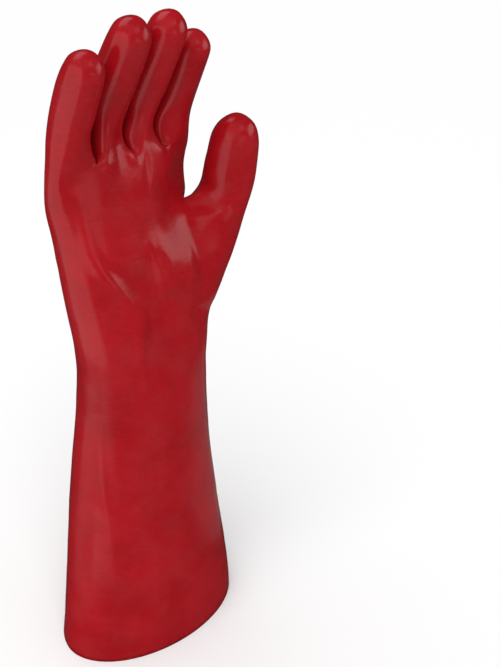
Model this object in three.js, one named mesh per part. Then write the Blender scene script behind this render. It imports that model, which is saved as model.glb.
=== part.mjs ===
// Gauntlet work glove for the right hand: one closed shell of PVC over a thin knitted backing.
// Millimetres and degrees. It stands on the flat edge of its open cuff at z = 0, fingers up,
// with the palm toward -Y, the thumb toward +X and the little finger toward -X.
// The outer skin is a coarse cage of four-sided faces whose corners lie on the skin. It is
// rounded once by Catmull-Clark rules, and the inner skin lies one wall thickness inside it.
import * as THREE from 'three';

// Main sizes
const REACH = 322; // along the middle line, from the cuff's edge to the finger roots
const CUFF_WIDTH = 135.5;
const CUFF_DEPTH = 82.5;
const WRIST_WIDTH = 88.3;
const WRIST_DEPTH = 59.1;
const PALM_WIDTH = 104.9;
const PALM_DEPTH = 41.6;
const FINGER_WIDTH = 23.6; // across the ring finger
const FINGER_LENGTH = 81.3; // middle finger, from its root to its tip
const THUMB_WIDTH = 27.4;
const WALL = 1.4;

// A table as a list of objects, one per row, with the named columns
const table = (columns, rows) => rows.map(
  (row) => Object.fromEntries(columns.map((name, i) => [name, row[i]])),
);

// Sections along the middle line: place as a share of the reach, half the width, the depth on the
// palm's side and on the back's, squareness (2 is an ellipse), and the middle line's lean
// toward the back and toward the thumb, with the twist of the section about it
const SECTIONS = table(
  ['at', 'half', 'palm', 'back', 'square', 'leanBack', 'leanThumb', 'twist'],
  [
    [0.000, 0.500 * CUFF_WIDTH, 0.467 * CUFF_DEPTH, 0.533 * CUFF_DEPTH, 2.0, 0.0, 0.0, 0.0],
    [0.186, 0.441 * CUFF_WIDTH, 0.450 * CUFF_DEPTH, 0.479 * CUFF_DEPTH, 2.0, 6.5, 0.0, 0.0],
    [0.373, 0.379 * CUFF_WIDTH, 0.425 * CUFF_DEPTH, 0.430 * CUFF_DEPTH, 2.0, 2.1, 0.0, 0.0],
    [0.528, 0.525 * WRIST_WIDTH, 0.544 * WRIST_DEPTH, 0.550 * WRIST_DEPTH, 2.0, -2.1, -0.4, 3.8],
    [0.637, 0.500 * WRIST_WIDTH, 0.506 * WRIST_DEPTH, 0.494 * WRIST_DEPTH, 2.1, -0.3, -1.1, 8.6],
    [0.730, 0.437 * PALM_WIDTH, 0.660 * PALM_DEPTH, 0.627 * PALM_DEPTH, 2.1, 8.3, -2.5, 11.8],
    [0.823, 0.460 * PALM_WIDTH, 0.581 * PALM_DEPTH, 0.574 * PALM_DEPTH, 2.2, 14.3, 0.6, 12.4],
    [0.916, 0.478 * PALM_WIDTH, 0.503 * PALM_DEPTH, 0.498 * PALM_DEPTH, 2.3, 14.0, 1.1, 12.4],
    [1.000, 0.500 * PALM_WIDTH, 0.388 * PALM_DEPTH, 0.423 * PALM_DEPTH, 2.4, 9.3, 0.4, 12.4],
  ],
);

// Rings of the cage as shares of the reach, and the rings and the columns of points that the
// thumb's root spans
const RINGS = [
  0.000, 0.087, 0.186, 0.295, 0.404, 0.503, 0.584, 0.640, 0.683, 0.730, 0.792, 0.857, 0.925, 1.000,
];
const THUMB_ROOT_RINGS = [9, 12];
const THUMB_ROOT_POINTS = [6, 9];

// Share of half the width by which the thumb's root is drawn toward the thumb's side on its upper
// rings, so that the fork between thumb and index finger lies on the palm's edge
const FORK_SHIFTS = { 10: [0.03, 0.02, 0.00], 11: [0.09, 0.05, 0.01], 12: [0.20, 0.13, 0.04] };

// Soft forms of the hand's heel and palm: direction about the middle line (-90 is the middle of
// the palm, 0 the thumb's side), place as a share of the reach, height, and the spread of each
const PADS = table(
  ['toward', 'at', 'height', 'spreadAround', 'spreadAlong'],
  [
    [-32, 0.770, 4.5, 36, 0.087], // ball of the thumb
    [0, 0.735, 3.5, 45, 0.055], // edge of the wrist below the thumb
    [-148, 0.755, 3.0, 32, 0.106], // heel below the little finger
    [-92, 0.888, -2.0, 30, 0.068], // hollow of the palm
    [42, 0.540, 8.0, 36, 0.210], // forearm and wrist behind the thumb
  ],
);

// Borders between the fingers as shares of half the palm's width, and the height of each above
// the reach: little finger's side, three webs, index finger's side
const BORDERS = [-0.96, -0.47, 0.02, 0.52, 0.96];
const BORDER_HEIGHTS = [-6.0, 10.1, 9.6, 8.8, -3.8];
const WEB_DROP = 6; // how far a web falls from the palm to the back
const WEB_SADDLE = 2; // rise of the web's middle above the mean of its two ends

// Fingers: length and width as shares of the named sizes, lean toward the thumb, and the curl
// toward the palm at the root, with what the middle and the end joint add to it
const FINGERS = table(
  ['name', 'length', 'width', 'lean', 'curlRoot', 'curlMiddle', 'curlEnd'],
  [
    ['little', 0.857, 0.978, 2.3, 8.6, 19.1, 7.5],
    ['ring', 0.960, 1.000, 2.9, 11.4, 21.2, 5.1],
    ['middle', 1.000, 0.979, 2.1, 10.8, 23.8, 2.1],
    ['index', 0.926, 1.003, 2.0, 13.1, 13.5, 4.1],
  ],
);
const FINGER_RINGS = [0.15, 0.31, 0.47, 0.62, 0.77, 0.90];
const FINGER_EXTRA_DEPTH = 0.6; // a finger is this much deeper than wide, in radius
const FINGER_BLEND = 0.36; // share of the length over which the root turns into a round finger
const TAPER = table(['at', 'share'], [[0, 1], [0.3, 1], [0.6, 0.98], [0.8, 0.94], [1, 0.86]]);

// Thumb: its tip, measured from the middle line at its lowest ring as distances toward the thumb's
// side, toward the back and up, and the directions in which it leaves the palm and reaches the tip
const THUMB_TIP = [71.0, -26.2, 100.2];
const THUMB_START = [0.78, 0.02, 0.54];
const THUMB_END = [0.08, -0.10, 1.0];
const THUMB_START_PULL = 36;
const THUMB_END_PULL = 38.3;
const THUMB_ROOT_RADIUS = 19.7;
const THUMB_BLEND = 0.59;
const THUMB_PATH_RINGS = [0.17, 0.34, 0.49, 0.62, 0.74, 0.85, 0.94];

// Small helpers
const radians = THREE.MathUtils.degToRad;
const clamp = THREE.MathUtils.clamp;
const smooth = (x, from, to) => THREE.MathUtils.smoothstep(x, from, to);
const vector = (x, y, z) => new THREE.Vector3(x, y, z);
const mean = (points) => {
  const sum = vector(0, 0, 0);
  points.forEach((point) => sum.add(point));
  return sum.divideScalar(points.length);
};
const along = (frame, x, y, z) => vector(0, 0, 0)
  .addScaledVector(frame.across, x)
  .addScaledVector(frame.back, y)
  .addScaledVector(frame.up, z);

// Straight-line reading of a list at places, level beyond both ends
function reading(places, values, x) {
  const last = places.length - 1;
  if (x <= places[0]) return values[0];
  if (x >= places[last]) return values[last];
  const i = places.findIndex((place) => place > x) - 1;
  const t = (x - places[i]) / (places[i + 1] - places[i]);
  return values[i] + (values[i + 1] - values[i]) * t;
}

// Slope of a column at row i, from the rows on both sides of it
function slope(rows, key, i) {
  const last = rows.length - 1;
  if (i === 0) return (rows[1][key] - rows[0][key]) / (rows[1].at - rows[0].at);
  if (i === last) {
    return (rows[last][key] - rows[last - 1][key]) / (rows[last].at - rows[last - 1].at);
  }
  const before = rows[i].at - rows[i - 1].at;
  const after = rows[i + 1].at - rows[i].at;
  const rise = before * before * (rows[i + 1][key] - rows[i][key])
    + after * after * (rows[i][key] - rows[i - 1][key]);
  return rise / (before * after * (before + after));
}

// A column at any share of the reach: a cubic between rows that keeps the rows' slopes
function column(key, at) {
  const rows = SECTIONS;
  let i = 0;
  while (i < rows.length - 2 && rows[i + 1].at < at) i += 1;
  const span = rows[i + 1].at - rows[i].at;
  const t = clamp((at - rows[i].at) / span, 0, 1);
  const m0 = slope(rows, key, i) * span;
  const m1 = slope(rows, key, i + 1) * span;
  const a = 2 * t ** 3 - 3 * t ** 2 + 1;
  const b = t ** 3 - 2 * t ** 2 + t;
  const c = 3 * t ** 2 - 2 * t ** 3;
  const d = t ** 3 - t ** 2;
  return a * rows[i][key] + b * m0 + c * rows[i + 1][key] + d * m1;
}

// Direction of the middle line at a share of the reach
function direction(at) {
  const back = radians(column('leanBack', at));
  const side = radians(column('leanThumb', at));
  return vector(
    Math.sin(side),
    Math.sin(back) * Math.cos(side),
    Math.cos(back) * Math.cos(side),
  );
}

// The middle line's place and frame at a share of the reach: the place sums the directions below
function section(at) {
  const steps = Math.max(1, Math.round(at * 300));
  const centre = vector(0, 0, 0);
  for (let i = 0; i < steps; i += 1) {
    const middle = direction(at * (i + 0.5) / steps);
    centre.addScaledVector(middle, REACH * at / steps);
  }
  const up = direction(at);
  const level = vector(1, 0, 0).addScaledVector(up, -up.x).normalize();
  const behind = vector(0, 0, 0).crossVectors(up, level);
  const twist = radians(column('twist', at));
  const across = level.clone().multiplyScalar(Math.cos(twist)).addScaledVector(behind, Math.sin(twist));
  const back = behind.clone().multiplyScalar(Math.cos(twist)).addScaledVector(level, -Math.sin(twist));
  return { centre, up, across, back };
}

// The cage's corners and faces
const points = [];
const quads = [];
const addPoint = (point) => points.push(point) - 1;

// Places across a ring: nine on the palm's side from the little finger's side to the thumb's, one
// on the thumb's side, nine on the back and one on the little finger's side. They stand at even
// angles up to the wrist and spread out to the fingers' borders at the webs.
const RING_POINTS = 20;
const FRONT_POINTS = 9;
const THUMB_SIDE = 9;
const LITTLE_SIDE = 19;
const SPREAD_FROM = 0.652;

function acrossShares(at) {
  const b = BORDERS;
  const atWebs = [
    b[0] + 0.02, 0.5 * (b[0] + b[1]), b[1], 0.5 * (b[1] + b[2]), b[2],
    0.5 * (b[2] + b[3]), b[3], 0.5 * (b[3] + b[4]), b[4] - 0.02,
  ];
  const t = smooth(at, SPREAD_FROM, 1);
  return atWebs.map((share, i) => {
    const even = Math.cos(radians(-90 + 18 * (i - 4)));
    return even * (1 - t) + share * t;
  });
}

// Index of a ring point counted across, the same on the palm's side and on the back
const acrossIndex = (k) => {
  if (k < FRONT_POINTS) return k;
  return k === LITTLE_SIDE ? 0 : 18 - k;
};

// How far a point of the top ring, or of the one below it, is raised
function rootRaise(ringIndex, k) {
  const top = RINGS.length - 1;
  const behind = k > THUMB_SIDE && k < LITTLE_SIDE;
  if (ringIndex === top - 1) return behind ? -0.4 * WEB_DROP : 0;
  if (ringIndex !== top) return 0;
  if (k === THUMB_SIDE) return BORDER_HEIGHTS[4] - 0.5 * WEB_DROP;
  if (k === LITTLE_SIDE) return BORDER_HEIGHTS[0] - 0.5 * WEB_DROP;
  const height = reading([0, 2, 4, 6, 8], BORDER_HEIGHTS, acrossIndex(k));
  return behind ? height - WEB_DROP : height;
}

// Share by which a point of the thumb's root is drawn toward the thumb's side
function forkShift(ringIndex, k) {
  const shifts = FORK_SHIFTS[ringIndex] || [];
  return shifts[k - THUMB_ROOT_POINTS[0]] || 0;
}

function bodyRing(at, ringIndex) {
  const frame = section(at);
  const half = column('half', at);
  const palm = column('palm', at);
  const rear = column('back', at);
  const square = column('square', at);
  const shares = acrossShares(at);
  const depthAt = (share) => (1 - Math.abs(share) ** square) ** (1 / square);
  const ring = [];
  for (let k = 0; k < RING_POINTS; k += 1) {
    const share = shares[clamp(acrossIndex(k), 0, 8)] + forkShift(ringIndex, k);
    let x = half * share;
    let y = k < FRONT_POINTS ? -palm * depthAt(share) : rear * depthAt(share);
    if (k === THUMB_SIDE) [x, y] = [half, 0];
    if (k === LITTLE_SIDE) [x, y] = [-half, 0];
      const facing = THREE.MathUtils.radToDeg(Math.atan2(y / (y < 0 ? palm : rear), x / half));
    PADS.forEach((pad) => {
      const turned = ((facing - pad.toward + 540) % 360) - 180;
      const reach = (turned / pad.spreadAround) ** 2 + ((at - pad.at) / pad.spreadAlong) ** 2;
      const height = pad.height * Math.exp(-reach);
      x += height * Math.cos(radians(facing));
      y += height * Math.sin(radians(facing));
    });
    ring.push(addPoint(frame.centre.clone().add(along(frame, x, y, rootRaise(ringIndex, k)))));
  }
  return ring;
}

// Cuff, wrist and palm, with the faces left out where the thumb leaves
const rings = RINGS.map(bodyRing);
const [thumbLow, thumbHigh] = THUMB_ROOT_RINGS;
const [thumbLeft, thumbRight] = THUMB_ROOT_POINTS;
for (let j = 0; j < rings.length - 1; j += 1) {
  for (let k = 0; k < RING_POINTS; k += 1) {
    const opens = j >= thumbLow && j < thumbHigh && k >= thumbLeft && k < thumbRight;
    const next = (k + 1) % RING_POINTS;
    if (!opens) quads.push([rings[j][k], rings[j][next], rings[j + 1][next], rings[j + 1][k]]);
  }
}

// Webs between the fingers: one point between the palm's and the back's border points
const top = rings[rings.length - 1];
const root = section(1);
const webs = [2, 4, 6].map((k) => {
  const middle = mean([points[top[k]], points[top[18 - k]]]);
  return addPoint(middle.addScaledVector(root.up, WEB_SADDLE));
});

// Joins two loops of the same count with a band of faces
function band(lower, upper) {
  lower.forEach((point, i) => {
    const next = (i + 1) % lower.length;
    quads.push([point, lower[next], upper[next], upper[i]]);
  });
}

// Share of the full radius near a rounded tip, where the tip's rounding starts at 1 - depth
const tipRounding = (q, depth) => {
  const t = Math.max(0, (q - (1 - depth)) / depth);
  return Math.sqrt(Math.max(0, 1 - t * t));
};

// One finger: round rings along a curling line, closed by a rounded tip of four faces
function addFinger(finger, index) {
  const front = [0, 1, 2].map((i) => top[2 * index + i]);
  const behind = [0, 1, 2].map((i) => top[18 - 2 * index - i]);
  const left = index === 0 ? top[LITTLE_SIDE] : webs[index - 1];
  const right = index === 3 ? top[THUMB_SIDE] : webs[index];
  const loop = [front[1], front[2], right, behind[2], behind[1], behind[0], left, front[0]];
  const start = mean(loop.map((i) => points[i]));
  const offsets = loop.map((i) => points[i].clone().sub(start));
  const length = finger.length * FINGER_LENGTH;
  const radius = 0.5 * finger.width * FINGER_WIDTH;
  const depth = radius + FINGER_EXTRA_DEPTH;
  const lean = radians(finger.lean);
  const heading = (q) => {
    const curl = radians(finger.curlRoot + finger.curlMiddle * smooth(q, 0.2, 0.55)
      + finger.curlEnd * smooth(q, 0.55, 0.9));
    return along(
      root,
      Math.sin(lean),
      -Math.sin(curl) * Math.cos(lean),
      Math.cos(curl) * Math.cos(lean),
    );
  };
  const place = (q) => {
    const steps = 40;
    const centre = start.clone();
    for (let i = 0; i < steps; i += 1) {
      centre.addScaledVector(heading(q * (i + 0.5) / steps), length * q / steps);
    }
    return centre;
  };
  let lower = loop;
  FINGER_RINGS.forEach((q) => {
    const centre = place(q);
    const up = heading(q).normalize();
    const across = root.across.clone().addScaledVector(up, -up.dot(root.across)).normalize();
    const back = vector(0, 0, 0).crossVectors(up, across);
    const share = reading(TAPER.map((row) => row.at), TAPER.map((row) => row.share), q)
      * tipRounding(q, depth / length);
    const round = smooth(q, 0, FINGER_BLEND);
    const ring = offsets.map((offset, i) => {
      const angle = radians(-90 + 45 * i);
      const point = centre.clone()
        .addScaledVector(across, round * radius * share * Math.cos(angle))
        .addScaledVector(back, round * depth * share * Math.sin(angle));
      const flat = offset.clone().addScaledVector(up, -up.dot(offset));
      return addPoint(point.addScaledVector(flat, 1 - round));
    });
    band(lower, ring);
    lower = ring;
  });
  const tip = addPoint(place(1));
  [1, 3, 5, 7].forEach((m) => quads.push([lower[m - 1], lower[m], lower[(m + 1) % 8], tip]));
}
FINGERS.forEach(addFinger);

// Thumb: a loop of twelve points on the palm's skin, then rings along a curved line
function addThumb() {
  const loop = [];
  for (let k = thumbLeft; k < thumbRight; k += 1) loop.push(rings[thumbLow][k]);
  for (let j = thumbLow; j < thumbHigh; j += 1) loop.push(rings[j][thumbRight]);
  for (let k = thumbRight; k > thumbLeft; k -= 1) loop.push(rings[thumbHigh][k]);
  for (let j = thumbHigh; j > thumbLow; j -= 1) loop.push(rings[j][thumbLeft]);
  const count = loop.length;
  const start = mean(loop.map((i) => points[i]));
  const offsets = loop.map((i) => points[i].clone().sub(start));
  const low = section(RINGS[thumbLow]);
  const tip = low.centre.clone().add(along(low, ...THUMB_TIP));
  const leave = along(low, ...THUMB_START).setLength(THUMB_START_PULL);
  const arrive = along(low, ...THUMB_END).setLength(THUMB_END_PULL);
  const line = new THREE.CubicBezierCurve3(start, start.clone().add(leave), tip.clone().sub(arrive), tip);
  const length = line.getLength();
  const depth = 0.475 * THUMB_WIDTH / length;
  const stations = [0, ...THUMB_PATH_RINGS];

  // A frame carried up the line without turning about it
  const first = line.getTangentAt(0);
  let across = vector(0, 0, 0).crossVectors(low.up, first).normalize();
  const back = vector(0, 0, 0).crossVectors(first, across);
  const angles = offsets.map((offset) => Math.atan2(offset.dot(back), offset.dot(across)));
  const turn = angles.reduce((sum, angle, i) => {
    const step = angles[(i + 1) % count] - angle;
    return sum + Math.atan2(Math.sin(step), Math.cos(step));
  }, 0);
  const way = Math.sign(turn) * 2 * Math.PI / count;
  const phase = Math.atan2(
    angles.reduce((sum, angle, i) => sum + Math.sin(angle - way * i), 0),
    angles.reduce((sum, angle, i) => sum + Math.cos(angle - way * i), 0),
  );
  let lower = loop;
  stations.slice(1).forEach((q, station) => {
    const from = stations[station];
    for (let i = 1; i <= 10; i += 1) {
      const tangent = line.getTangentAt(from + (q - from) * i / 10);
      across = across.addScaledVector(tangent, -tangent.dot(across)).normalize();
    }
    const up = line.getTangentAt(q);
    const behind = vector(0, 0, 0).crossVectors(up, across);
    const centre = line.getPointAt(q);
    const narrowing = smooth(q, 0.1, 0.55);
    const radius = (THUMB_ROOT_RADIUS * (1 - narrowing) + 0.5 * THUMB_WIDTH * narrowing)
      * tipRounding(q, depth);
    const round = smooth(q, 0, THUMB_BLEND);
    const ring = offsets.map((offset, i) => {
      const angle = phase + way * i;
      const point = centre.clone()
        .addScaledVector(across, round * radius * Math.cos(angle))
        .addScaledVector(behind, round * radius * Math.sin(angle));
      const flat = offset.clone().addScaledVector(up, -up.dot(offset));
      return addPoint(point.addScaledVector(flat, 1 - round));
    });
    band(lower, ring);
    lower = ring;
  });

  // Rounded tip: nine faces, four points inside the last ring
  const end = line.getTangentAt(1);
  const middle = mean(lower.map((i) => points[i]));
  const inner = [0, 3, 6, 9].map((i) => {
    const offset = points[lower[i]].clone().sub(middle).multiplyScalar(0.45);
    return addPoint(tip.clone().addScaledVector(end, -0.6).add(offset));
  });
  for (let i = 0; i < 4; i += 1) {
    const corner = 3 * i;
    const before = lower[(corner + count - 1) % count];
    const one = lower[(corner + 1) % count];
    const two = lower[(corner + 2) % count];
    quads.push([before, lower[corner], one, inner[i]]);
    quads.push([one, two, inner[(i + 1) % 4], inner[i]]);
  }
  quads.push(inner);
}
addThumb();

// Leaves out points that no face uses
function compact(mesh) {
  const used = new Map();
  const kept = [];
  const faces = mesh.faces.map((face) => face.map((i) => {
    if (!used.has(i)) used.set(i, kept.push(mesh.points[i]) - 1);
    return used.get(i);
  }));
  return { points: kept, faces };
}

// Neighbours of every point: faces around it, and the edges with the faces on each side
function neighbours({ points: all, faces }) {
  const edges = new Map();
  const around = all.map(() => ({ faces: [], edges: [] }));
  faces.forEach((face, f) => {
    face.forEach((a, i) => {
      const b = face[(i + 1) % 4];
      const key = a < b ? `${a}_${b}` : `${b}_${a}`;
      if (!edges.has(key)) {
        const edge = { ends: [a, b], faces: [] };
        edges.set(key, edge);
        around[a].edges.push(edge);
        around[b].edges.push(edge);
      }
      edges.get(key).faces.push(f);
      around[a].faces.push(f);
    });
  });
  return { edges, around };
}
const otherEnd = (edge, i) => (edge.ends[0] === i ? edge.ends[1] : edge.ends[0]);
const onRim = (edge) => edge.faces.length === 1;

// One round of Catmull-Clark refinement: each four-sided face becomes four
function refine(mesh) {
  const { edges, around } = neighbours(mesh);
  const facePoints = mesh.faces.map((face) => mean(face.map((i) => mesh.points[i])));
  const corners = mesh.points.map((point, i) => {
    const rim = around[i].edges.filter(onRim);
    if (rim.length > 0) {
      const ends = rim.map((edge) => mesh.points[otherEnd(edge, i)]);
      return point.clone().multiplyScalar(0.75).addScaledVector(mean(ends), 0.25);
    }
    const n = around[i].faces.length;
    const faceMean = mean(around[i].faces.map((f) => facePoints[f]));
    const ends = mean(around[i].edges.map((edge) => mesh.points[otherEnd(edge, i)]));
    const middles = ends.add(point).multiplyScalar(0.5);
    return faceMean.addScaledVector(middles, 2).addScaledVector(point, n - 3).divideScalar(n);
  });
  const refined = [...corners];
  const faceIndex = facePoints.map((point) => refined.push(point) - 1);
  const edgeIndex = new Map();
  edges.forEach((edge, key) => {
    const ends = edge.ends.map((i) => mesh.points[i]);
    const nearby = onRim(edge) ? ends : [...ends, ...edge.faces.map((f) => facePoints[f])];
    edgeIndex.set(key, refined.push(mean(nearby)) - 1);
  });
  const edgePoint = (a, b) => edgeIndex.get(a < b ? `${a}_${b}` : `${b}_${a}`);
  const faces = [];
  mesh.faces.forEach((face, f) => {
    face.forEach((corner, i) => {
      const next = edgePoint(corner, face[(i + 1) % 4]);
      const before = edgePoint(face[(i + 3) % 4], corner);
      faces.push([corner, next, faceIndex[f], before]);
    });
  });
  return { points: refined, faces };
}

// Where each point ends up on the finished smooth skin
function limitPoints(mesh) {
  const { around } = neighbours(mesh);
  return mesh.points.map((point, i) => {
    const rim = around[i].edges.filter(onRim);
    if (rim.length > 0) {
      const ends = mean(rim.map((edge) => mesh.points[otherEnd(edge, i)]));
      return point.clone().multiplyScalar(2 / 3).addScaledVector(ends, 1 / 3);
    }
    const n = around[i].faces.length;
    const sum = point.clone().multiplyScalar(n * n);
    around[i].edges.forEach((edge) => sum.addScaledVector(mesh.points[otherEnd(edge, i)], 4));
    around[i].faces.forEach((f) => {
      const face = mesh.faces[f];
      sum.add(mesh.points[face[(face.indexOf(i) + 2) % 4]]);
    });
    return sum.divideScalar(n * (n + 5));
  });
}

// Moves the cage's corners out until the smooth skin runs through their stated places
const FITTING_ROUNDS = 8;
function fitCage(target) {
  let fitted = { points: target.points.map((point) => point.clone()), faces: target.faces };
  for (let round = 0; round < FITTING_ROUNDS; round += 1) {
    const reached = limitPoints(fitted);
    const moved = fitted.points.map((point, i) => point.clone().add(target.points[i]).sub(reached[i]));
    fitted = { points: moved, faces: target.faces };
  }
  return fitted;
}
const fine = refine(fitCage(compact({ points, faces: quads })));
const outer = limitPoints(fine);

// The middle of the glove's box stands over the origin
const box = new THREE.Box3().setFromPoints(outer);
const middle = box.getCenter(vector(0, 0, 0));
outer.forEach((point) => point.sub(vector(middle.x, middle.y, 0)));

// Inner skin: each point of the outer one moved in along its normal by the wall thickness; at the
// cuff's edge it moves level, so that the edge stays flat
const { edges: fineEdges, around: fineAround } = neighbours(fine);
const faceNormals = fine.faces.map((face) => {
  const [a, b, c, d] = face.map((i) => outer[i]);
  return c.clone().sub(a).cross(d.clone().sub(b));
});
const inner = outer.map((point, i) => {
  const normal = mean(fineAround[i].faces.map((f) => faceNormals[f]));
  if (fineAround[i].edges.some(onRim)) normal.z = 0;
  return point.clone().addScaledVector(normal.normalize(), -WALL);
});

// Both skins as triangles, split on the shorter diagonal, and the flat edge between them
const skins = [...outer, ...inner];
const triangles = [];
const split = (a, b, c, d) => {
  const short = skins[a].distanceTo(skins[c]) <= skins[b].distanceTo(skins[d]);
  if (short) triangles.push(a, b, c, a, c, d);
  else triangles.push(a, b, d, b, c, d);
};
const shift = outer.length;
fine.faces.forEach(([a, b, c, d]) => {
  split(a, b, c, d);
  split(shift + a, shift + d, shift + c, shift + b);
});
fineEdges.forEach((edge) => {
  const [a, b] = edge.ends;
  if (onRim(edge)) split(b, a, shift + a, shift + b);
});

const geometry = new THREE.BufferGeometry();
geometry.setAttribute('position', new THREE.Float32BufferAttribute(skins.flatMap((p) => p.toArray()), 3));
geometry.setIndex(triangles);
geometry.computeVertexNormals();

const pvc = new THREE.MeshStandardMaterial({ color: 0x991b22, roughness: 0.34, metalness: 0 });
const shell = new THREE.Mesh(geometry, pvc);
shell.name = 'glove_shell';

const glove = new THREE.Group();
glove.add(shell);
export default glove;
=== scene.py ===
"""A long work glove for the right hand, dipped in deep red PVC, standing on its open cuff."""

import bmesh
import bpy
import numpy as np
from mathutils import Matrix, Vector


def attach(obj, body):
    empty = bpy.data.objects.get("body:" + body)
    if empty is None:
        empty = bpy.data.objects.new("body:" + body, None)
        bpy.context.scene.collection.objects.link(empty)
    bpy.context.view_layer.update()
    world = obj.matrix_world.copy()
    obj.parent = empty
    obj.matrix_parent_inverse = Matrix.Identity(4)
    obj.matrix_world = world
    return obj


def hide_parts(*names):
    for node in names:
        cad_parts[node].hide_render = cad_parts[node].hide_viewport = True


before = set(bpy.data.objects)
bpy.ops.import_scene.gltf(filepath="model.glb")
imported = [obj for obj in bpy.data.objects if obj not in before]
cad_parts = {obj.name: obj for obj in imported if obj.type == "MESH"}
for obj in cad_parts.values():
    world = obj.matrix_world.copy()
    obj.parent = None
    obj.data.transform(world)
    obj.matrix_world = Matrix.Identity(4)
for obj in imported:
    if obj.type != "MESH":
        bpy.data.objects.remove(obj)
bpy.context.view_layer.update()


# Glove skin. The real glove is one piece: a knitted liner is pulled over a hand-shaped former and
# dipped in soft PVC, which sets as a smooth, faintly mottled skin about a millimetre and a half
# thick. Nothing is sewn on; the cuff is simply cut off level.

MM = 0.001
MERGE_WITHIN = 1e-6  # corners nearer than this are one corner
ON_FLOOR = 1e-6  # height below which a corner belongs to the cut edge
JOIN_ANGLE = 3.2  # radians, more than half a turn, so that any two triangles may be joined
SKIN_LEVELS = 2  # rounds of subdivision between the shell's corners
FITTING_ROUNDS = 6
EDGE_ANGLE = 0.9  # radians, turns sharper than this are the cut edge's


def read_points(mesh):
    """The mesh's corners as rows of x, y and z."""
    flat = np.empty(3 * len(mesh.vertices))
    mesh.vertices.foreach_get("co", flat)
    return flat.reshape(-1, 3)


def write_points(mesh, points):
    """Puts rows of x, y and z back as the mesh's corners."""
    mesh.vertices.foreach_set("co", np.ascontiguousarray(points, dtype=np.float32).ravel())
    mesh.update()


def mark_inside(mesh):
    """Gives each corner an "inside" value, 0 on the outer skin and 1 on the inner one.

    The mark starts at the highest corner, which is outside, and spreads along the edges. The
    edges that lie in the cut at the floor are left out, so it never crosses to the inner skin.
    """
    points = read_points(mesh)
    ends = np.empty(2 * len(mesh.edges), dtype=np.int32)
    mesh.edges.foreach_get("vertices", ends)
    ends = ends.reshape(-1, 2)
    ends = ends[(np.abs(points[ends, 2]) > ON_FLOOR).any(axis=1)]
    outside = np.zeros(len(points), dtype=bool)
    outside[np.argmax(points[:, 2])] = True
    reached = 0
    while outside.sum() > reached:
        reached = outside.sum()
        touched = outside[ends].any(axis=1)
        outside[ends[touched]] = True
    layer = mesh.attributes.new("inside", "FLOAT", "POINT")
    layer.data.foreach_set("value", (~outside).astype(np.float32))


def rounded_copy(node, levels):
    """A copy of the shell, merged and joined back into four-sided faces, and subdivided.

    The corners are moved out by what the smooth surface falls short of them, a few times over, so
    that the finished skin runs through the shell's own corners. The cut edge of the cuff stays
    sharp.
    """
    form = bmesh.new()
    form.from_mesh(node.data)
    bmesh.ops.remove_doubles(form, verts=form.verts, dist=MERGE_WITHIN)
    bmesh.ops.join_triangles(
        form,
        faces=form.faces,
        angle_face_threshold=JOIN_ANGLE,
        angle_shape_threshold=JOIN_ANGLE,
    )
    crease = form.edges.layers.float.new("crease_edge")
    for edge in form.edges:
        in_cut = [all(abs(v.co.z) < ON_FLOOR for v in face.verts) for face in edge.link_faces]
        if any(in_cut) and not all(in_cut):
            edge[crease] = 1.0
    mesh = bpy.data.meshes.new("glove_skin")
    form.to_mesh(mesh)
    form.free()
    mark_inside(mesh)
    piece = bpy.data.objects.new("glove_skin", mesh)
    bpy.context.collection.objects.link(piece)
    rounding = piece.modifiers.new("rounding", "SUBSURF")
    rounding.levels = rounding.render_levels = levels
    rounding.use_creases = True
    count = len(mesh.vertices)
    wanted = read_points(mesh)
    for _ in range(FITTING_ROUNDS):
        bpy.context.view_layer.update()
        fine = piece.evaluated_get(bpy.context.evaluated_depsgraph_get()).data
        short = wanted - read_points(fine)[:count]
        short[np.abs(wanted[:, 2]) < ON_FLOOR] = 0.0
        write_points(mesh, read_points(mesh) + short)
    bpy.context.view_layer.update()
    graph = bpy.context.evaluated_depsgraph_get()
    finished = bpy.data.meshes.new_from_object(piece.evaluated_get(graph))
    piece.modifiers.clear()
    piece.data = finished
    return piece


skin = rounded_copy(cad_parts["glove_shell"], SKIN_LEVELS)

# The former's thumb grows out of the palm without a break, and its fingers part in deep narrow
# gaps. Each pull is a place, a move and a half width in millimetres, and whatever lies near the
# place goes with it. The skin is then eased smooth along the lines, given in millimetres too.

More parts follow.
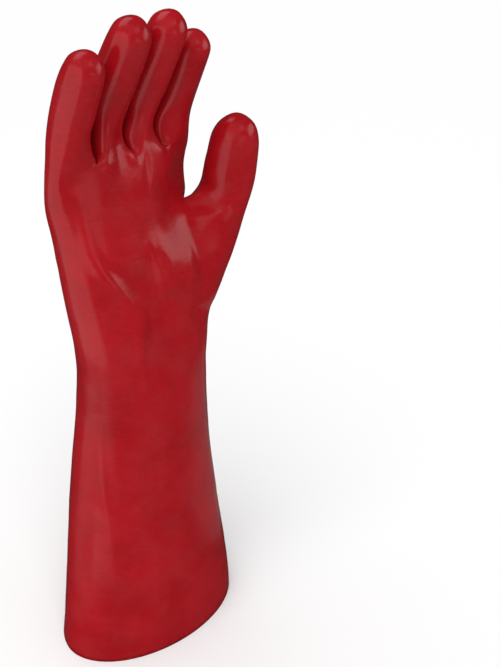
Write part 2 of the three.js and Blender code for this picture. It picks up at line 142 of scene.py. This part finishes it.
FORM_PULLS = [
    ((58, 4, 337), (1.5, 2.3, 5.2), 20.0),  # end of the thumb
    ((45, 7, 302), (-4.2, 2.6, 0.0), 14.0),  # its side toward the index finger
    ((35, 11, 292), (3.4, 2.4, 8.0), 11.0),  # fork of thumb and index finger
    ((66, -6, 298), (3.4, -2.2, 0.0), 13.0),  # outer side of the thumb
    ((57, -3, 270), (-3.4, 2.2, 0.0), 16.0),  # outer side of the thumb's root
    ((33, -10, 240), (1.4, -0.9, 0.0), 14.0),  # wrist below the thumb
    ((39, 12, 299), (4.0, -2.5, -1.2), 7.0),  # thumb's side of the fork
    ((29, 10, 305), (-2.7, 1.7, 0.0), 10.0),  # edge of the palm beside the fork
    ((30, 15, 300), (-4.0, 2.6, 0.0), 7.0),  # and beside the fork's bottom
    ((33, 19, 308), (-2.8, 1.9, 0.0), 9.0),  # and above that
    ((37, 21, 333), (-1.0, 0.7, 0.0), 9.0),  # index finger's outer side, from its root up
    ((36, 19, 345), (-1.0, 0.7, 0.0), 9.0),
    ((37, 15, 358), (-1.0, 0.7, 0.0), 9.0),
    ((38, 11, 372), (-1.0, 0.7, 0.0), 9.0),
    ((-12, 11, 341), (-2.4, 1.6, 0.0), 6.0),  # ring finger's side toward the middle finger
    ((14, 17, 341), (-2.4, 1.6, 0.0), 6.0),  # middle finger's side toward the index finger
    ((-6, 14, 338), (-3.6, 2.4, 0.0), 7.0),  # gap of ring and middle finger
    ((22, 20, 337), (-4.5, 3.0, 0.0), 7.5),  # gap of middle and index finger
]
THUMB_SEAM = [(37, 13, 299), (31, 4, 285), (28, -3, 271), (25, -10, 256), (25, -14, 242)]
THUMB_OUTSIDE = [(68, -6, 308), (62, -5, 290), (55, -5, 272), (40, -9, 254), (26, -15, 226)]
PALM_EDGE = [(-60, 13, 322), (-59, 14, 307), (-56, 12, 290)]
EASED_LINES = [  # line, half width in millimetres, share
    (THUMB_SEAM, 13, 1.0),
    (THUMB_OUTSIDE, 13, 1.0),
    (PALM_EDGE, 11, 0.3),
]
EASED_LINE_STEPS = 60
FINGER_ROOTS = 332 * MM  # height of the fingers' roots, which are eased a little
FINGER_ROOT_SPREAD = 9 * MM  # half width of that band
FINGER_ROOT_SHARE = 0.25
EASING_ROUNDS = 70


def bell(away, half_width):
    """One at nought, falling off evenly to almost nothing three half widths away."""
    return np.exp(-0.5 * (away / half_width) ** 2)


def along(line, count):
    """Count rows at even steps along a line that is given by a few rows in millimetres."""
    rows = np.array(line, dtype=float)
    steps = np.linspace(0.0, len(rows) - 1.0, count)
    return np.stack([np.interp(steps, np.arange(len(rows)), column) for column in rows.T], 1) * MM


def pulled(points, pulls):
    """Every point moved by each pull's move times a bell of its distance from the pull's place."""
    moved = points.copy()
    for place, move, reach in pulls:
        away = np.linalg.norm(points - np.array(place) * MM, axis=1)
        moved += bell(away, reach * MM)[:, None] * np.array(move) * MM
    return moved


def eased(mesh, points, share, rounds):
    """Points moved again and again by half their share of the way to their neighbours' mean."""
    ends = np.empty(2 * len(mesh.edges), dtype=np.int32)
    mesh.edges.foreach_get("vertices", ends)
    one, other = ends.reshape(-1, 2).T
    count = np.bincount(ends, minlength=len(points))
    for _ in range(rounds):
        around = np.stack(
            [
                np.bincount(one, points[other, axis], len(points))
                + np.bincount(other, points[one, axis], len(points))
                for axis in range(3)
            ],
            axis=1,
        )
        points = points + 0.5 * share[:, None] * (around / count[:, None] - points)
    return points


skin_points = pulled(read_points(skin.data), FORM_PULLS)
share = FINGER_ROOT_SHARE * bell(skin_points[:, 2] - FINGER_ROOTS, FINGER_ROOT_SPREAD)
for line, half_width, most in EASED_LINES:
    spots = along(line, EASED_LINE_STEPS)
    away = np.linalg.norm(skin_points[:, None] - spots, axis=2).min(axis=1)
    share = np.maximum(share, most * bell(away, half_width * MM))
write_points(skin.data, eased(skin.data, skin_points, share, EASING_ROUNDS))

# The dipped skin keeps the ridges and folds that the liner had on the former. Each line below has
# rows of x, y, z, height and half width in millimetres; a height under nought is a furrow.

FOLDS = {
    "shelf below the palm's hollow": [
        (-10, -14, 268, 1.4, 11.0),
        (1, -13, 268, 3.2, 12.0),
        (12, -12, 265, 3.4, 13.0),
        (23, -9, 264, 2.0, 12.0),
    ],
    "ball of the thumb": [
        (37, 8, 294, 1.5, 8.0),
        (34, 2, 282, 4.5, 11.0),
        (31, -4, 268, 5.5, 12.0),
        (27, -11, 252, 3.5, 11.0),
        (25, -15, 238, 1.0, 9.0),
    ],
    "ridge from the little finger's edge down the heel": [
        (-46, 3, 322, 0.3, 2.0),
        (-46, -1, 306, 0.8, 2.2),
        (-46, -7, 290, 1.2, 2.4),
        (-42, -13, 278, 1.6, 2.6),
        (-36, -17, 268, 2.3, 3.0),
        (-29, -21, 257, 3.0, 3.4),
        (-24, -23, 249, 2.8, 3.4),
        (-26, -26, 238, 1.7, 2.6),
        (-27, -27, 225, 1.1, 2.2),
        (-25, -28, 209, 0.9, 2.0),
        (-24, -29, 196, 0.3, 2.0),
    ],
    "ridge down the forearm": [
        (-49, -14, 196, 0.3, 3.0),
        (-49, -13, 172, 0.7, 2.6),
        (-48, -14, 148, 1.0, 2.2),
        (-48, -17, 130, 1.1, 2.0),
        (-47, -21, 112, 1.0, 2.0),
        (-47, -23, 95, 0.8, 2.4),
        (-46, -27, 76, 0.6, 3.0),
        (-48, -30, 50, 0.3, 3.5),
    ],
    "hollow of the wrist": [
        (-8, -20, 262, -0.6, 7.0),
        (-9, -25, 245, -1.6, 8.0),
        (-6, -28, 228, -1.4, 8.0),
        (-6, -29, 205, -0.4, 8.0),
    ],
    "furrow below the ring finger": [
        (-18, 8, 340, -0.3, 1.2),
        (-18, 7, 333, -0.5, 1.3),
        (-19, 4, 324, -0.2, 1.3),
    ],
    "furrow below the middle finger": [
        (2, 10, 332, -0.5, 1.4),
        (1, 8, 324, -1.0, 1.6),
        (-1, 5, 317, -0.7, 1.6),
        (-2, 3, 310, -0.2, 1.6),
    ],
    "ridge below the ball of the thumb": [
        (15, -5, 276, 0.2, 1.4),
        (15, -7, 270, 0.8, 1.5),
        (14, -11, 262, 0.7, 1.4),
        (12, -17, 247, 0.4, 1.6),
        (12, -20, 236, 0.1, 1.6),
    ],
    "crease of the shelf, little finger's side": [
        (-6, -8, 279, -0.2, 1.3),
        (0, -12, 271, -0.4, 1.3),
        (6, -13, 267, -0.2, 1.3),
    ],
    "crease of the shelf, thumb's side": [
        (3, -12, 269, -0.2, 1.3),
        (8, -12, 267, -0.4, 1.3),
        (13, -12, 263, -0.2, 1.3),
    ],
    "crease down from the shelf": [
        (-6, -9, 278, -0.1, 1.2),
        (-5, -13, 270, -0.4, 1.3),
        (-4, -16, 261, -0.1, 1.3),
    ],
    "lip of the web of little and ring finger": [
        (-32, 8, 335, 0.5, 1.8),
        (-28, 5, 330, 1.8, 2.4),
        (-23, 4, 325, 0.3, 2.2),
    ],
    "lip of the web of ring and middle finger": [
        (-13, 8, 336, 0.5, 1.8),
        (-9, 8, 331, 1.8, 2.4),
        (-3, 8, 327, 0.3, 2.2),
    ],
    "lip of the web of middle and index finger": [
        (10, 13, 334, 0.5, 1.7),
        (14, 13, 329, 1.6, 2.2),
        (19, 14, 325, 0.3, 2.0),
    ],
}
FOLD_STEPS = 160
FOLD_EASING_ROUNDS = 10
FOLD_END_STEPS = 16  # steps over which a fold dies away at each end
FOLD_REACH = 3.5  # half widths past which a fold is left out


def fold_height(points, line):
    """Height of a fold at each point, in metres.

    The line is eased first. The height is the line's own, times a bell of the distance to the line
    over its half width, and it dies away over the first and last steps of the line.
    """
    row = along(line, FOLD_STEPS)
    for _ in range(FOLD_EASING_ROUNDS):
        row[1:-1] = (row[:-2] + 2.0 * row[1:-1] + row[2:]) / 4.0
    place, rise, width = row[:, :3], row[:, 3], row[:, 4]
    reach = FOLD_REACH * width.max()
    near = ((points > place.min(axis=0) - reach) & (points < place.max(axis=0) + reach)).all(axis=1)
    away = np.linalg.norm(points[near, None] - place, axis=2)
    nearest = away.argmin(axis=1)
    step = np.arange(FOLD_STEPS)
    fade = np.clip(np.minimum(step, step[::-1]) / FOLD_END_STEPS, 0.0, 1.0)
    height = np.zeros(len(points))
    height[near] = (rise * fade)[nearest] * bell(away.min(axis=1), width[nearest])
    return height


WAVES = [  # length of the wave and its height in millimetres, and the direction it runs in
    (71.0, 0.14, (0.3, 0.5, 0.8)),
    (47.0, 0.09, (0.8, -0.3, 0.5)),
    (29.0, 0.06, (-0.5, 0.6, 0.6)),
    (17.0, 0.03, (0.6, 0.7, -0.4)),
]


def slow_waves(points):
    """Slight unevenness of the dipped skin, as a sum of sines.

    Each sine runs along its own direction, and twice the sine before it is added to its angle.
    """
    height = np.zeros(len(points))
    shift = np.zeros(len(points))
    for length, rise, direction in WAVES:
        run = points @ (np.array(direction) / np.linalg.norm(direction)) / (length * MM)
        wave = np.sin(2.0 * np.pi * run + 2.0 * shift)
        height += rise * MM * wave
        shift = wave
    return height


EDGE_FADE = 12 * MM  # below this height the relief dies away, so that the cut keeps its outline

skin_points = read_points(skin.data)
outward = np.empty(3 * len(skin_points))
skin.data.vertices.foreach_get("normal", outward)
outward = outward.reshape(-1, 3)
inside = np.empty(len(skin_points))
skin.data.attributes["inside"].data.foreach_get("value", inside)
outward *= (1.0 - 2.0 * inside)[:, None]

rise = slow_waves(skin_points)
for line in FOLDS.values():
    rise += fold_height(skin_points, line)
rise *= np.clip(skin_points[:, 2] / EDGE_FADE, 0.0, 1.0) ** 2
write_points(skin.data, skin_points + outward * rise[:, None])
skin.data.shade_smooth()
skin.data.set_sharp_from_angle(angle=EDGE_ANGLE)

PVC_RED = (0.370, 0.005, 0.010, 1.0)
PVC_DARK = (0.300, 0.0035, 0.007, 1.0)
PVC_ROUGHNESS = 0.20
PVC_IOR = 1.5
LINING_RED = (0.30, 0.03, 0.03, 1.0)
LINING_ROUGHNESS = 0.9
LINING_STEP = (0.4, 0.6)  # "inside" values between which the skin turns into the lining
CLOUDS = {"Scale": 26.0, "Detail": 4.0, "Roughness": 0.55}  # blotches of the colour
CLOUD_STEP = (0.36, 0.62)  # noise between which the dark red turns into the lighter one
KNIT_STROKES = {"Scale": 190.0, "Detail": 3.0, "Roughness": 0.6}  # trace of the knit below
KNIT_TURN = (0.0, 0.6, 0.3)  # radians
KNIT_SQUEEZE = (1.0, 1.0, 3.2)
KNIT_IN_COLOUR = 0.35  # share of the strokes in the colour, the rest is the clouds'
SMEARS = {"Scale": 60.0, "Detail": 5.0, "Roughness": 0.6}  # duller and glossier places
SMEAR_STEP = (0.3, 0.7)  # noise between which the glossy places turn into the dull ones
SMEARS_GLOSSIER = 0.05
SMEARS_DULLER = 0.07
GRAIN = {"Scale": 900.0, "Detail": 2.0, "Roughness": 0.5}
GRAIN_IN_RELIEF = 0.25
RELIEF_STRENGTH = 0.07
RELIEF_DEPTH = 1.2 * MM


class Nodes:
    """Short calls for the nodes of one material."""

    def __init__(self, name):
        self.material = bpy.data.materials.new(name)
        self.material.use_nodes = True
        self.tree = self.material.node_tree
        self.shader = self.tree.nodes["Principled BSDF"]

    def add(self, kind, inputs, **settings):
        """A node of the kind, with its settings and with its inputs by name or number."""
        node = self.tree.nodes.new(kind)
        for name, value in settings.items():
            setattr(node, name, value)
        for name, value in inputs.items():
            self.feed(node, name, value)
        return node

    def feed(self, node, name, value):
        """Sets an input to a value, or links it to another node's socket."""
        if isinstance(value, bpy.types.NodeSocket):
            self.tree.links.new(value, node.inputs[name])
        else:
            node.inputs[name].default_value = value

    def noise(self, place, texture):
        """A noise from nought to one over a place, with the texture's scale and detail."""
        return self.add("ShaderNodeTexNoise", {"Vector": place, **texture}).outputs["Fac"]

    def ramp(self, value, low, high, to_low=0.0, to_high=1.0):
        """A soft step from to_low to to_high while the value goes from low to high."""
        ends = {"From Min": low, "From Max": high, "To Min": to_low, "To Max": to_high}
        node = self.add(
            "ShaderNodeMapRange", {"Value": value, **ends}, interpolation_type="SMOOTHSTEP"
        )
        return node.outputs["Result"]

    def mix(self, share, first, second):
        """The first colour turning into the second as the share goes from nought to one."""
        node = self.add("ShaderNodeMix", {0: share, 6: first, 7: second}, data_type="RGBA")
        return node.outputs[2]

    def combine(self, operation, first, second):
        """Two numbers added, multiplied or otherwise put together."""
        return self.add("ShaderNodeMath", {0: first, 1: second}, operation=operation).outputs[0]


def pvc_material():
    """Smooth PVC with cloudy colour and a faint trace of the knit below; matt knit inside."""
    pvc = Nodes("pvc_skin")
    place = pvc.tree.nodes.new("ShaderNodeTexCoord").outputs["Object"]
    slanted = pvc.add(
        "ShaderNodeMapping", {"Vector": place, "Rotation": KNIT_TURN, "Scale": KNIT_SQUEEZE}
    ).outputs["Vector"]
    lining = pvc.tree.nodes.new("ShaderNodeAttribute")
    lining.attribute_name = "inside"
    lining = pvc.ramp(lining.outputs["Fac"], *LINING_STEP)

    clouds = pvc.combine("MULTIPLY", pvc.noise(place, CLOUDS), 1.0 - KNIT_IN_COLOUR)
    strokes = pvc.noise(slanted, KNIT_STROKES)
    tint = pvc.combine("ADD", clouds, pvc.combine("MULTIPLY", strokes, KNIT_IN_COLOUR))
    red = pvc.mix(pvc.ramp(tint, *CLOUD_STEP), PVC_DARK, PVC_RED)
    pvc.feed(pvc.shader, "Base Color", pvc.mix(lining, red, LINING_RED))

    glossiest = PVC_ROUGHNESS - SMEARS_GLOSSIER
    dullest = PVC_ROUGHNESS + SMEARS_DULLER
    gloss = pvc.ramp(pvc.noise(place, SMEARS), *SMEAR_STEP, glossiest, dullest)
    matt = pvc.combine("MULTIPLY", lining, LINING_ROUGHNESS)
    pvc.feed(pvc.shader, "Roughness", pvc.combine("MAXIMUM", gloss, matt))
    pvc.feed(pvc.shader, "IOR", PVC_IOR)

    grain = pvc.combine("MULTIPLY", pvc.noise(place, GRAIN), GRAIN_IN_RELIEF)
    relief = {
        "Height": pvc.combine("ADD", grain, strokes),
        "Strength": RELIEF_STRENGTH,
        "Distance": RELIEF_DEPTH,
    }
    pvc.feed(pvc.shader, "Normal", pvc.add("ShaderNodeBump", relief).outputs["Normal"])
    return pvc.material


skin.data.materials.clear()
skin.data.materials.append(pvc_material())
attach(skin, "root")
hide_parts("glove_shell")


# Floor and light. A wide, plain pale floor in an evenly white room, lit by a soft sun. The other
# lights are mirrored in the skin: a tall panel on the little finger's side with a dimmer foot gives
# the long pale band, the palm card the patch on the ball of the thumb, the heel card the fold
# from the little finger to the heel, and the rest the finger tips and the forearm's dull edge.

FLOOR_SIZE = 40.0  # metres
FLOOR_WHITE = (0.92, 0.92, 0.92, 1.0)
ROOM_WHITE = (1.0, 1.0, 1.0, 1.0)
ROOM_SEEN = 1.0  # brightness of the room behind the glove
ROOM_LIGHT = 0.60  # its brightness for matt surfaces
ROOM_MIRRORED = 0.03  # its brightness in the skin's gloss

floor_mesh = bpy.data.meshes.new("floor")
half = FLOOR_SIZE / 2
floor_mesh.from_pydata(
    [(-half, -half, 0), (half, -half, 0), (half, half, 0), (-half, half, 0)], [], [(0, 1, 2, 3)]
)
floor = bpy.data.objects.new("floor", floor_mesh)
bpy.context.collection.objects.link(floor)
floor.visible_glossy = False
floor_paint = Nodes("pale_floor")
floor_paint.feed(floor_paint.shader, "Base Color", FLOOR_WHITE)
floor_paint.feed(floor_paint.shader, "Roughness", 1.0)
floor_paint.feed(floor_paint.shader, "Specular IOR Level", 0.0)
floor_mesh.materials.append(floor_paint.material)

world = bpy.data.worlds.new("room")
world.use_nodes = True
bpy.context.scene.world = world
room = world.node_tree
ray = room.nodes.new("ShaderNodeLightPath")
gloss_choice = room.nodes.new("ShaderNodeMix")
gloss_choice.inputs["A"].default_value = ROOM_LIGHT
gloss_choice.inputs["B"].default_value = ROOM_MIRRORED
room.links.new(ray.outputs["Is Glossy Ray"], gloss_choice.inputs["Factor"])
seen_choice = room.nodes.new("ShaderNodeMix")
room.links.new(gloss_choice.outputs["Result"], seen_choice.inputs["A"])
seen_choice.inputs["B"].default_value = ROOM_SEEN
room.links.new(ray.outputs["Is Camera Ray"], seen_choice.inputs["Factor"])
room.links.new(seen_choice.outputs["Result"], room.nodes["Background"].inputs["Strength"])
room.nodes["Background"].inputs["Color"].default_value = ROOM_WHITE


CARDS = [  # name, place, point it faces, width and height, brightness, lights the room too
    ("side_panel", (-0.32, -0.065, 0.313), (0.0, -0.065, 0.313), (0.53, 0.635), 0.66, False),
    ("near_foot", (-0.32, -0.215, -0.035), (0.0, -0.215, -0.035), (0.23, 0.06), 0.66, False),
    ("far_foot", (-0.32, 0.05, -0.035), (0.0, 0.05, -0.035), (0.30, 0.06), 0.22, False),
    ("low_foot", (-0.32, -0.065, -0.093), (0.0, -0.065, -0.093), (0.53, 0.055), 0.22, False),
    ("palm_card", (0.412, -0.200, 0.514), (0.015, 0.0, 0.28), (0.31, 0.19), 1.25, False),
    ("heel_card", (0.043, -0.48, 0.435), (-0.04, -0.012, 0.28), (0.25, 0.07), 0.6, False),
    ("high_card", (0.10, -0.42, 0.83), (0.03, 0.01, 0.30), (0.30, 0.22), 0.5, False),
    ("top_panel", (-0.1, 0.25, 0.95), (0.0, 0.0, 0.3), (0.5, 0.3), 1.0, True),
    ("floor_card", (0.26, 0.0, 0.004), (0.255, 0.0, 0.2), (0.26, 0.28), 0.13, False),
]

for name, place, faces, size, brightness, lights_room in CARDS:
    card_data = bpy.data.lights.new(name, "AREA")
    card_data.shape = "RECTANGLE"
    card_data.size, card_data.size_y = size
    card_data.energy = brightness * np.pi * size[0] * size[1]  # watts for that brightness
    card = bpy.data.objects.new(name, card_data)
    toward = np.subtract(faces, place)
    toward /= np.linalg.norm(toward)
    across = np.cross(toward, (0.0, 0.0, 1.0))
    across /= np.linalg.norm(across)
    turn = np.column_stack([across, np.cross(across, toward), -toward])
    card.matrix_world = Matrix.Translation(place) @ Matrix(turn.tolist()).to_4x4()
    card.visible_camera = False
    card.visible_diffuse = lights_room
    bpy.context.collection.objects.link(card)

SUN_TOWARD = (-0.49, -0.41, 0.77)
SUN_STRENGTH = 1.95
SUN_SPREAD = 1.1  # radians across, so its shadows are soft

sun_data = bpy.data.lights.new("high_window", "SUN")
sun_data.energy = SUN_STRENGTH
sun_data.angle = SUN_SPREAD
sun = bpy.data.objects.new("high_window", sun_data)
sun.rotation_euler = Vector(SUN_TOWARD).to_track_quat("Z", "Y").to_euler()
sun.visible_glossy = False
bpy.context.collection.objects.link(sun)


# Camera, where the photograph was taken from: close by, a little above the finger tips and
# looking down.

CAMERA_PLACE = (-0.22017, -0.32886, 0.44227)
CAMERA_AHEAD = (0.48160, 0.72989, -0.48510)
CAMERA_UP = (0.26716, 0.40490, 0.87446)
LENS = 40.55  # millimetres
SIDE_SHIFT = 0.15  # share of the picture, because the glove stands left of its middle

camera_data = bpy.data.cameras.new("camera")
camera_data.lens = LENS
camera_data.shift_x = SIDE_SHIFT
camera = bpy.data.objects.new("camera", camera_data)
turn = np.column_stack(
    [np.cross(CAMERA_AHEAD, CAMERA_UP), CAMERA_UP, np.multiply(CAMERA_AHEAD, -1)]
)
camera.matrix_world = Matrix.Translation(CAMERA_PLACE) @ Matrix(turn.tolist()).to_4x4()
bpy.context.collection.objects.link(camera)
bpy.context.scene.camera = camera
bpy.context.scene.view_settings.view_transform = "Standard"
